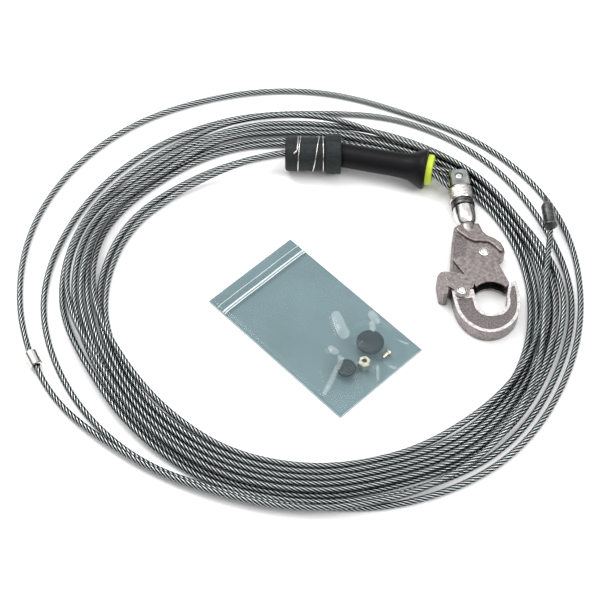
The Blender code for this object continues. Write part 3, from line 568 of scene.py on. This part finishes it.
def rope_mesh(name, path, step=RING_STEP, start=0.0):
    """Six strands laid to the right round a path, as one closed tube with the strands in its section."""
    path = spaced(path, step)
    tangent = np.gradient(path, axis=0)
    tangent /= np.linalg.norm(tangent, axis=1)[:, None]
    side = np.cross((0, 0, 1), tangent)
    side /= np.linalg.norm(side, axis=1)[:, None]
    up = np.cross(tangent, side)
    along = np.arange(len(path)) * np.linalg.norm(path[1] - path[0])
    points = []
    for k in range(STRANDS * len(STRAND_SECTION)):
        angle, radius = STRAND_SECTION[k % len(STRAND_SECTION)]
        a = math.tau * (k // len(STRAND_SECTION)) / STRANDS + math.radians(angle)
        turn = a + math.tau * (along + start) / LAY_LENGTH
        points.append(path + radius * MM * (np.cos(turn)[:, None] * side + np.sin(turn)[:, None] * up))
    points = np.stack(points, axis=1)
    rings, sides = points.shape[:2]
    index = np.arange(rings * sides).reshape(rings, sides)
    quads = np.stack([index[:-1], np.roll(index, -1, axis=1)[:-1], np.roll(index, -1, axis=1)[1:], index[1:]],
                     axis=2).reshape(-1, 4)
    mesh = bpy.data.meshes.new(name)
    faces = quads.tolist() + [index[0][::-1].tolist(), index[-1].tolist()]
    mesh.from_pydata(points.reshape(-1, 3).tolist(), [], faces)
    layer = mesh.uv_layers.new(name="UVMap")
    round_u = np.tile(np.stack([np.arange(sides), np.arange(sides) + 1, np.arange(sides) + 1,
                                np.arange(sides)], axis=1) / sides, (rings - 1, 1))
    v = np.repeat(along[:-1], sides)
    v_next = np.repeat(along[1:], sides)
    uv = np.stack([round_u.reshape(-1), np.stack([v, v, v_next, v_next], axis=1).reshape(-1)], axis=1)
    uv = np.vstack([uv, np.zeros((2 * sides, 2))])
    layer.data.foreach_set("uv", uv.reshape(-1).astype(np.float32))
    mesh.polygons.foreach_set("use_smooth", [True] * (len(faces) - 2) + [False] * 2)
    return bpy.data.objects.new(name, mesh), path


def rope():
    """The whole rope outside the eye, laid as a coil."""
    route = rope_route()
    obj, path = rope_mesh("rope", route)
    link(obj, "lifeline", "rope_steel")
    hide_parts("rope_coil", "rope_outer_turn", "rope_lead", "rope_tail")


# ---- fittings on the rope ----------------------------------------------------------------------------------
GRIP_AXES = axis_frame(GRIP_START * MM, GRIP_WAY)
BUMPER_AXES = axis_frame(Vector(BUMPER_MIDDLE) * MM, (1, 0, 0))
HOOK_AXES = (Matrix.Translation(Vector((129.9, 85, 10.2)) * MM) @ Matrix.Rotation(math.radians(6), 4, "Z")
             @ Matrix.Rotation(math.radians(1.1), 4, "X"))
SWIVEL_AXES = HOOK_AXES @ Matrix.Rotation(math.pi / 2, 4, "X")  # local Z runs down the hook
PIN_Y, EYE_R = 3, 7.9
SLEEVE_END, FLANGE_END = 70.3, 79.8  # where the eye leaves the sleeve and the flange, along the grip


def rope_eye():
    """The twisted rope of the eye: out of the sleeve, round the clevis pin and back."""
    pin = np.array(HOOK_AXES @ (Vector((0, PIN_Y, 0)) * MM)) / MM
    mouth, side = GRIP_START + GRIP_WAY * SLEEVE_END, np.array((-GRIP_WAY[1], GRIP_WAY[0], 0)) * 2.5
    back = GRIP_START + GRIP_WAY * FLANGE_END - pin
    start = math.degrees(math.atan2(back[1], back[0]))
    loop = [(pin[0] + x, pin[1] + y, pin[2]) for x, y in arc((0, 0), EYE_R, 9, start - 80, -200)]
    line = [mouth + side, mouth + side + GRIP_WAY * 6, *loop, mouth - side + GRIP_WAY * 6, mouth - side]
    obj = rope_mesh("rope_eye_laid", smooth(np.array(line) * MM, 1 * MM), 1 * MM)[0]
    link(obj, "lifeline", "rope_steel")
    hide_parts("rope_eye")
    return obj


def knurl(a, z):
    """Crossed fine ridges round the swivel's band, in millimetres."""
    if not 8 < z < 17 or abs(math.remainder(z, 0.5)) > 0.26:
        return 0
    return 0.12 * math.sin(48 * a + 2.2 * z) * math.sin(48 * a - 2.2 * z)


BAND_PROFILE = [(8.9, 6.3), (8.9, 18.5), (9.6, 18.5), (10, 17.9)] + [
    (10, z / 2) for z in range(34, 15, -1)] + [(10, 6.9), (9.6, 6.3)]


def turned_pieces():
    """Round fittings: each stands for one CAD node of the same outline, with finer curves and details."""
    hook_at = {name: HOOK_AXES @ Matrix.Translation(Vector((x, y, 0)) * MM)
               for name, (x, y) in (("pin", (0, PIN_Y)), ("gate", GATE_PIVOT), ("lever", LEVER_PIVOT))}
    in_bag = {name: BAG_AXES @ Matrix.Translation((x * MM, y * MM, ON_BACK_FILM * MM))
              for name, (x, y) in (("large", LARGE_PLUG_AT), ("small", SMALL_PLUG_AT))}
    ferrule = axis_frame(Vector((199.1, 38.2, 16.2)) * MM, (-0.06, 1, 0))
    sleeve = GRIP_AXES @ Matrix.Translation((0, 0, 48 * MM))
    pieces = (
        ("hand_grip", "handle_grip", "handle", "grip_black", GRIP_AXES, 96, 0.8,
         [(7.9, 74), (15.6, 74), (16.5, 73.2), (16.5, 72.2), (15.2, 69), (13.2, 65.5), (11.4, 61.5),
          (10.4, 56), (10, 46), (9.9, 2), (9, 0), (7.9, 0)]),
        ("lime_core", "handle_core", "handle", "lime_plastic", GRIP_AXES, 96, 0.7,
         [(7.4, 79.5), (11.4, 79.5), (12.4, 78.5), (12.4, 74.3), (7.6, 74.3), (7.6, 6), (6.4, 6),
          (6.4, 78.5)]),
        ("swage", "swage_sleeve", "lifeline", "dark_steel", sleeve, 64, 0.8,
         [(0, 22), (4.6, 22), (5.9, 20.5), (5.9, 1.5), (4.6, 0), (0, 0)]),
        ("end_sleeve", "end_ferrule", "lifeline", "dark_steel", ferrule, 64, 0.8,
         [(0, 31), (1.2, 30.2), (1.8, 27), (2.6, 23.5), (4.2, 21), (4.9, 20), (4.9, 12), (4.75, 11.6),
          (4.75, 10.8), (4.9, 10.4), (4.9, 2.2), (5.4, 1.6), (5.4, 0.5), (4.8, 0), (0, 0)]),
        ("thimble", "eye_thimble", "lifeline", "lime_plastic", hook_at["pin"], 64, 0.3,
         [(6.6, 3.4), (6.8, 3), (5.2, 1.6), (5.0, 0), (5.2, -1.6), (6.8, -3), (6.6, -3.4), (3.3, -3.4),
          (3.3, 3.4)]),
        ("pin", "clevis_pin", "yoke", "polished_steel", hook_at["pin"], 48, 0.4,
         [(0, 7.6), (2, 7.8), (2.9, 7.2), (2.9, -7.2), (2.2, -7.8), (0, -7.8)]),
        ("knurled_band", "swivel_band", "yoke", "pale_steel_and_painted_sheen", SWIVEL_AXES, 288, 0.1, BAND_PROFILE),
        ("groove_ring", "swivel_collar", "yoke", "dark_steel", SWIVEL_AXES, 72, 0.3,
         [(8.9, 24), (9.1, 24), (9.4, 23.4), (9.4, 21.6), (9.1, 21), (9.1, 18.8), (8.9, 18.8)]),
        ("washer", "thrust_washer", "yoke", "polished_steel", SWIVEL_AXES, 64, 0.3,
         [(3.4, 33.8), (6.2, 33.8), (6.2, 32.3), (3.4, 32.3)]),
        ("dome", "swivel_housing", "hook", "polished_steel", SWIVEL_AXES, 96, 1.6,
         [(3.3, 24.5), (8.2, 24.5), (8.7, 25.2), (8.7, 33), (8.2, 37.5), (6.6, 41), (4, 42.6), (0, 42.7),
          (0, 39.6), (4, 39.4), (6.7, 37.5), (6.7, 32), (3.3, 32)]),
        ("gate_rivet_head", "gate_rivet", "hook", "polished_steel", hook_at["gate"], 64, 0.7,
         [(0, 8.3), (2.4, 8), (3.3, 7.3), (3.4, 7.1), (4, 7.05), (4, 6.6), (2.2, 6.6), (2.2, -6.6),
          (3.6, -6.6), (3.6, -7.2), (2.6, -7.7), (0, -7.7)]),
        ("lever_rivet_head", "lever_rivet", "hook", "polished_steel", hook_at["lever"], 64, 0.7,
         [(0, 9.8), (2.2, 9.5), (3.1, 8.8), (3.2, 8.65), (3.7, 8.6), (3.7, 8.2), (2.2, 8.2), (2.2, -7.9),
          (0, -7.9)]),
        ("plug_large", "large_plug", "bag", "plug_black", in_bag["large"], 72, 0.5,
         [(0, 9.6), (2.4, 9.6), (9.6, 9.2), (10.5, 8.4), (10.5, 6.4), (9.6, 5.8), (6.8, 5.6), (6.4, 0.6),
          (6, 0), (0, 0)]),
        ("plug_small", "small_plug", "bag", "plug_black", in_bag["small"], 64, 0.5,
         [(0, 7), (6.6, 6.8), (7.6, 6.2), (7.6, 4.6), (5, 4.2), (4.6, 0.4), (4.2, 0), (0, 0)]),
    )
    made = {}
    for name, node_name, body, look, axes, sides, radius, profile in pieces:
        obj = turned(name, profile, axes, sides, radius, knurl if name == "knurled_band" else None)
        link(obj, body, look)
        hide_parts(node_name)
        made[name] = obj
    return made


# ---- bumper ----------------------------------------------------------------------------------------------
# The binding wire: (degrees round the bumper from the top towards the viewer, millimetres along it)
BINDING = ((28, 9.6), (0, 10.4), (-55, 10.6), (-145, 10.2), (-235, 10.2), (-325, 11), (-370, 12.2),
           (-415, 13.3), (-505, 17.5), (-595, 21.6), (-690, 25.4), (-730, 27), (-775, 27.8), (-865, 29.6),
           (-955, 30.6), (-1135, 30.6), (-1225, 30.8))
BINDING_RUN = 0.25  # millimetres that a degree round the bumper counts for in spacing the wire's points
WRAP_RADIUS, TWIST_RADIUS, TWIST_REACH = 14.5, 15.1, 0.4
TWIST_START, TWIST_SWEEP, TWIST_TURNS = 30, 8, 2.2  # degrees round the bumper, and turns of the twist


def binding_wire():
    """Soft wire wound round the bumper's waist, with its twisted end."""
    turns = smooth(np.array(BINDING, float) * (BINDING_RUN, 1), 0.4)
    around, along = np.radians(turns[:, 0] / BINDING_RUN), turns[:, 1]
    line = [BUMPER_AXES @ (Vector((-WRAP_RADIUS * math.sin(a), WRAP_RADIUS * math.cos(a), s)) * MM)
            for a, s in zip(around, along)]
    obj = link(wire("wire_binding", line, 0.5 * MM), "bumper", "pale_steel_and_painted_sheen")
    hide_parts("binding_wire")
    for strand in range(2):
        twist = []
        for t in np.linspace(0, 1, 30):
            turn = math.tau * (TWIST_TURNS * t + strand / 2)
            a = math.radians(TWIST_START + TWIST_SWEEP * t) + 0.5 * math.sin(turn) / 15
            r = TWIST_RADIUS + TWIST_REACH * math.cos(turn)
            twist.append(BUMPER_AXES @ (Vector((-r * math.sin(a), r * math.cos(a), 9.6 - 2.6 * t)) * MM))
        link(wire(f"wire_twist_{strand}", twist, 0.4 * MM), "bumper", "pale_steel_and_painted_sheen")


# ---- snap hook ---------------------------------------------------------------------------------------------
BODY_LEFT = [(-8.5, -44), (-11.5, -46), (-14.6, -57), (-17.6, -70), (-20.6, -86), (-22.2, -101),
             (-22.3, -115), (-20.6, -126), (-16.5, -134.5), (-10, -141.3), (-2, -145.2), (6, -145.6),
             (14.5, -142.5), (21.8, -136), (26.3, -127), (28.3, -116), (28.5, -104), (27.6, -100.9),
             (25.8, -100.2), (24.4, -101.8), (23.6, -105.6), (20.6, -109.5)]
BOWL_INNER = [(18.7, -114), (18.4, -119), (16, -125), (11.5, -128.7), (9, -129.3), (3, -129.3),
              (-0.8, -128), (-4.2, -124), (-5.3, -118)]
BODY_RIGHT = [(-5.6, -110), (-6.6, -101), (-8.6, -92), (-9.2, -85), (-6.5, -81.2), (-1, -80.4), (4, -82),
              (9, -82.2), (13.5, -80.8), (17.5, -78), (21.5, -77), (24.2, -73.5), (24.3, -69),
              (22.8, -64), (18.8, -59.4), (13.5, -56), (10.5, -52), (9, -46), (8.5, -44)]
HORN = [(-8.5, -44), (-10.5, -47.5), (-9.5, -50.5), (-3, -57.5), (2, -61.2), (8, -61.8), (13, -62.8),
        (17.2, -67.6), (20.3, -73), (23.2, -72.8), (24.2, -69.2), (22.6, -64.2), (18.6, -59.6),
        (13.3, -56.2), (10.3, -52.2), (8.9, -46), (8.5, -44)]
GATE_LEFT = [(1.8, -66.2), (-3, -71.2), (-11, -74), (-16.8, -75.6), (-15.8, -80), (-13, -85.4),
             (-10.2, -91), (-7, -97), (-3.2, -103.4), (0, -101.2), (5, -99.4), (11, -99.8), (16, -102.4),
             (19.6, -105.6), (22, -104.8), (22.6, -103)]
GATE_WEB = [(17.1, -84.2), (14.6, -84.9), (20, -102.8), (22.5, -102.4)]
LEVER_TOP = [(-25, -88.6), (-17, -90.2), (-9.5, -93), (-3.2, -98.6), (-6, -104.8), (-8.6, -105.2)]
THUMB_TIP = [(-25, -88.2), (-28.8, -88.8), (-31.2, -91.4)]
THUMB_BACK = [(-29.6, -109), (-26.2, -108.6), (-25, -103)]
GATE_PIVOT, LEVER_PIVOT = (8, -72), (-15, -107)
GATE_SWEEP = 36.6  # radius inside which the gate's plates turn about their rivet


def eased(points, step=1.0):
    """A smooth open line of points, in millimetres, through the given ones."""
    return [tuple(p) for p in smooth(np.array(points, float), step)]


# Sunk flats of the forging, inside their raised rims: the bowl's web and the spine's panel
BOWL_WEB = (eased([(-20, -113.4), (-18.3, -125), (-14.8, -132.8), (-8.9, -139), (-1.4, -142.8),
                   (5.8, -143.2), (13.4, -140.3), (20, -134.3), (24.2, -126), (26, -115.8), (26.2, -106.5)])
            + eased([(23.8, -106.2), (22.3, -110), (20.9, -114.5), (20.4, -120), (17.6, -126.7),
                     (12.2, -130.9), (9, -131.5), (2.8, -131.5), (-2.2, -129.8), (-6.4, -124.9),
                     (-7.6, -118), (-8, -113.6)]))
SPINE_PANEL = [(-10.9, -52), (-13, -59), (-15.8, -71), (-18.2, -84), (-19, -92), (-12, -93), (-9, -84),
               (-8.5, -76), (-5, -67), (-3.5, -60.5), (-7.4, -54)]
WEB_DEPTH = 0.6
SPINE_HALF, BOWL_HALF = 4.5, 6.3  # half thickness of the forging at its spine and at its bowl
PIVOT_HOLE, RIVET_HOLE = 4.2, 2.3


def hook_pieces():
    """The forging with its horn and neck, the gate, and the lock lever with its thumb piece."""
    left = BODY_LEFT[:4] + eased(BODY_LEFT[4:17]) + BODY_LEFT[17:]
    inner, right = eased(BOWL_INNER), eased(BODY_RIGHT)
    spine = slab("hook_forging", [left + inner + right], -SPINE_HALF, SPINE_HALF)
    bowl = slab("bowl", [left + inner + [(-6, -104), (-21.8, -99)]], -BOWL_HALF, BOWL_HALF)
    # The bowl is thick only where the gate does not sweep past it, and at its tip beyond the gate
    above = slab("above", [[(-60, -98), (60, -98), (60, 0), (-60, 0)]], -20, 20)
    swept = slab("swept", [arc(GATE_PIVOT, GATE_SWEEP, 96)], -20, 20)
    beyond = slab("beyond", [[(22.9, -120), (60, -120), (60, 0), (22.9, 0)]], -21, 21)
    bowl = combined(bowl, [above, combined(swept, [beyond], "DIFFERENCE")], "DIFFERENCE")
    body = combined(spine, [bowl])
    cuts = [slab("hole", [arc(at, PIVOT_HOLE)], -9, 9) for at in (GATE_PIVOT, LEVER_PIVOT)]
    for outline, level in ((BOWL_WEB, BOWL_HALF), (SPINE_PANEL, SPINE_HALF)):
        for side in (1, -1):
            cuts.append(slab("web", [outline], *sorted((side * (level - WEB_DEPTH), side * 9))))
    body = combined(body, cuts, "DIFFERENCE")
    # The rounded edges and the bowl's raised flats take pale steel as a painted highlight
    body = edged(body, HOOK_AXES, 0.75,
                 ((BOWL_HALF, 1), (BOWL_HALF - WEB_DEPTH, 2), (SPINE_HALF - WEB_DEPTH, 2)))
    # The sunk flats take the darker material: painted shade in the recess
    link(body, "hook", "forged_steel", "pale_steel_and_painted_sheen", "cast_web_recess_shade")
    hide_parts("hook_body")
    hole = slab("hole", [arc(GATE_PIVOT, PIVOT_HOLE)], -9, 9)
    horn = combined(slab("hook_horn", [HORN], -6.7, 6.7), [hole], "DIFFERENCE")
    link(edged(horn, HOOK_AXES, 1.7, segments=5), "hook", "forged_steel", "forged_steel")
    neck = turned("hook_neck", [(0, 58), (5, 56), (7.4, 50), (8.2, 43), (0, 43)], SWIVEL_AXES, 72, 1.5)
    link(neck, "hook", "forged_steel")

    outline = arc(GATE_PIVOT, 6.5, 24, -15, 140) + GATE_LEFT
    gate = slab("gate_web", [GATE_WEB], -5.4, 5.4)
    plates = [slab("plate", [outline, arc(GATE_PIVOT, RIVET_HOLE, 32)[::-1]], low, high)
              for low, high in ((4.8, 6.3), (-6.3, -4.8))]
    gate = combined(gate, plates)
    gate.name = "gate_plates"
    gate = edged(gate, HOOK_AXES, 0.4)
    # Its rounded edges take pale steel as a painted highlight
    link(gate, "gate", "forged_steel", "pale_steel_and_painted_sheen")
    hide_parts("snap_gate")

    ridges = [(-31.9 - (0.45 if i % 2 else 0), -92.6 - 0.75 * i) for i in range(20)]
    lever = slab("lever_thumb", [THUMB_TIP + ridges + THUMB_BACK], -7.9, 7.9)
    outline = LEVER_TOP + arc(LEVER_PIVOT, 6, 30, 10, -205) + [(-25, -102)]
    plates = [slab("plate", [outline, arc(LEVER_PIVOT, RIVET_HOLE, 32)[::-1]], low, high)
              for low, high in ((6.6, 8), (-8, -6.6))]
    lever = combined(lever, plates)
    lever.name = "lever_plates"
    lever = edged(lever, HOOK_AXES, 0.4)
    # Its rounded edges take pale steel as a painted highlight
    link(lever, "lever", "forged_steel", "pale_steel_and_painted_sheen")
    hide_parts("lock_lever")


# ---- bag of fittings ---------------------------------------------------------------------------------------
BAG_AXES = Matrix.Translation(Vector((13.5, -45, 0)) * MM) @ Matrix.Rotation(math.radians(-46.3), 4, "Z")
BAG_LENGTH, BAG_WIDTH, ZIP_X = 145, 87, -55.4
LARGE_PLUG_AT, SMALL_PLUG_AT, STANDOFF_AT, SCREW_AT = (43.6, 16.2), (46.8, -12), (53.1, 0.7), (57.8, 22.5)
ON_BACK_FILM = 0.55
# What pushes the film up: (place, height, spread)
BULGES = ((LARGE_PLUG_AT, 12, 22), (SMALL_PLUG_AT, 9.2, 17), (STANDOFF_AT, 11, 17), (SCREW_AT, 7.6, 12))
# Height of the film above the ground at its welded edge, and what an empty bag adds inside it
EDGE_HEIGHT, EMPTY_HEIGHT, SLACK = 0.9, 1.6, 0.25
# Folds in the front film: (start, end, height, half width), in millimetres
FOLDS = (((2, 19), (29, 6), 1.7, 6.5), ((21, 40), (36, 32), 1.4, 6), ((22, -6), (34, -8), 1.3, 5),
         ((40, -8), (51, -41), 1.5, 3.4), ((53, 32), (64, 40), 0.8, 3), ((29, 32), (42, 21), 1.0, 5),
         ((34, -8), (44, -14), 1.0, 4), ((62, 6), (71, -3), 0.9, 3), ((66, 12), (72, 18), 0.8, 3))

FOLD_HIGHLIGHT_HEIGHT = 0.55  # folds above this height take a paler, more opaque film: a painted highlight of the soft boxes on the folds
WELD_INSET = 0.4


def fold_height(x, y):
    """Height that the folds add to the front film at a point of the bag."""
    height = 0
    for start, end, top, half in FOLDS:
        run = np.subtract(end, start)
        along = np.clip(np.dot((x - start[0], y - start[1]), run) / np.dot(run, run), 0, 1)
        off = math.hypot(x - start[0] - along * run[0], y - start[1] - along * run[1])
        height = max(height, top * max(0, 1 - off / half) * (4 * along * (1 - along)) ** 0.4)
    return height


def film_height(x, y):
    """How far the front film stands above the ground at a point of the bag, in millimetres."""
    out = max(abs(x) / (BAG_LENGTH / 2), abs(y) / (BAG_WIDTH / 2))
    edge = max(0, 1 - (2 * out - 1) ** 12) if out > 0.5 else 1
    rise = EMPTY_HEIGHT
    for at, top, spread in BULGES:
        rise = max(rise, top * math.exp(-1.1 * (math.hypot(x - at[0], y - at[1]) / spread) ** 3))
    slack = SLACK * math.sin(x / 9 + y / 14) * math.sin(y / 11)
    return EDGE_HEIGHT + edge * (rise + fold_height(x, y) + slack)


def film_sheet(name, height, cells):
    """A sheet of the bag's size with its height given as a function, on cells along and across the bag."""
    shape = bmesh.new()
    xs = np.linspace(-BAG_LENGTH / 2, BAG_LENGTH / 2, cells[0] + 1)
    ys = np.linspace(-BAG_WIDTH / 2, BAG_WIDTH / 2, cells[1] + 1)
    rows = [[shape.verts.new(Vector((x, y, height(x, y))) * MM) for y in ys] for x in xs]
    for one, two in zip(rows, rows[1:]):
        for i in range(cells[1]):
            shape.faces.new((one[i], two[i], two[i + 1], one[i + 1]))
    return finished(name, shape, BAG_AXES)


def bag():
    """The zip bag: two films, welded along three sides, with a double zip and a folded header."""
    front = link(film_sheet("film_front", film_height, (174, 104)), "bag", "bag_film", "bag_fold_highlight")
    to_bag = BAG_AXES.inverted()
    for face in front.data.polygons:
        at = to_bag @ face.center / MM
        # High folds take the paler film as a painted highlight
        face.material_index = 1 if fold_height(at.x, at.y) > FOLD_HIGHLIGHT_HEIGHT else 0
    back = link(film_sheet("film_back", lambda x, y: 0.3, (40, 24)), "bag", "bag_back")
    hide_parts("bag_front_film")
    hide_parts("bag_back_film")
    half_l, half_w = BAG_LENGTH / 2 - WELD_INSET, BAG_WIDTH / 2 - WELD_INSET
    sides = [(-half_l, -half_w), (half_l, -half_w), (half_l, half_w), (-half_l, half_w)]
    line = [BAG_AXES @ (Vector((x, y, 0.65)) * MM) for x, y in sides]
    link(wire("bag_seam", line, 0.35 * MM, 2), "bag", "bag_weld")
    for name, at, radius, stands_for in (("zip_ridge_outer", -1.1, 0.75, "zip_groove"),
                                         ("zip_ridge_inner", 0.9, 0.5, "zip_rib"),
                                         ("header_line", -7.3, 0.25, None)):
        ends = [BAG_AXES @ (Vector((ZIP_X + at, y, film_height(ZIP_X + at, y) + 0.1)) * MM)
                for y in np.linspace(-half_w, half_w, 40)]
        obj = link(wire(name, ends, radius * MM), "bag", "zip_white" if stands_for else "bag_weld")
        if stands_for:
            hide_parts(stands_for)


def rounded_nodes():
    """Rounds the edges of the CAD pieces that show as they are."""
    for name, width in (("swivel_yoke", 1.6), ("stop_ferrule", 0.3), ("bumper_shell_front", 0.6),
                        ("bumper_shell_rear", 0.6), ("hex_standoff", 0.4), ("post_nut", 0.3),
                        ("spare_screw", 0.2)):
        rounding = NODES[name].modifiers.new("rounding", "BEVEL")
        rounding.width, rounding.segments = width * MM, 3
        rounding.limit_method, rounding.angle_limit = "ANGLE", math.radians(30)


# ---- the scene ---------------------------------------------------------------------------------------------
LOOKS = finish_materials()
studio()
EYE = rope_eye()
FITTINGS = turned_pieces()
rope()
binding_wire()
hook_pieces()
bag()
rounded_nodes()
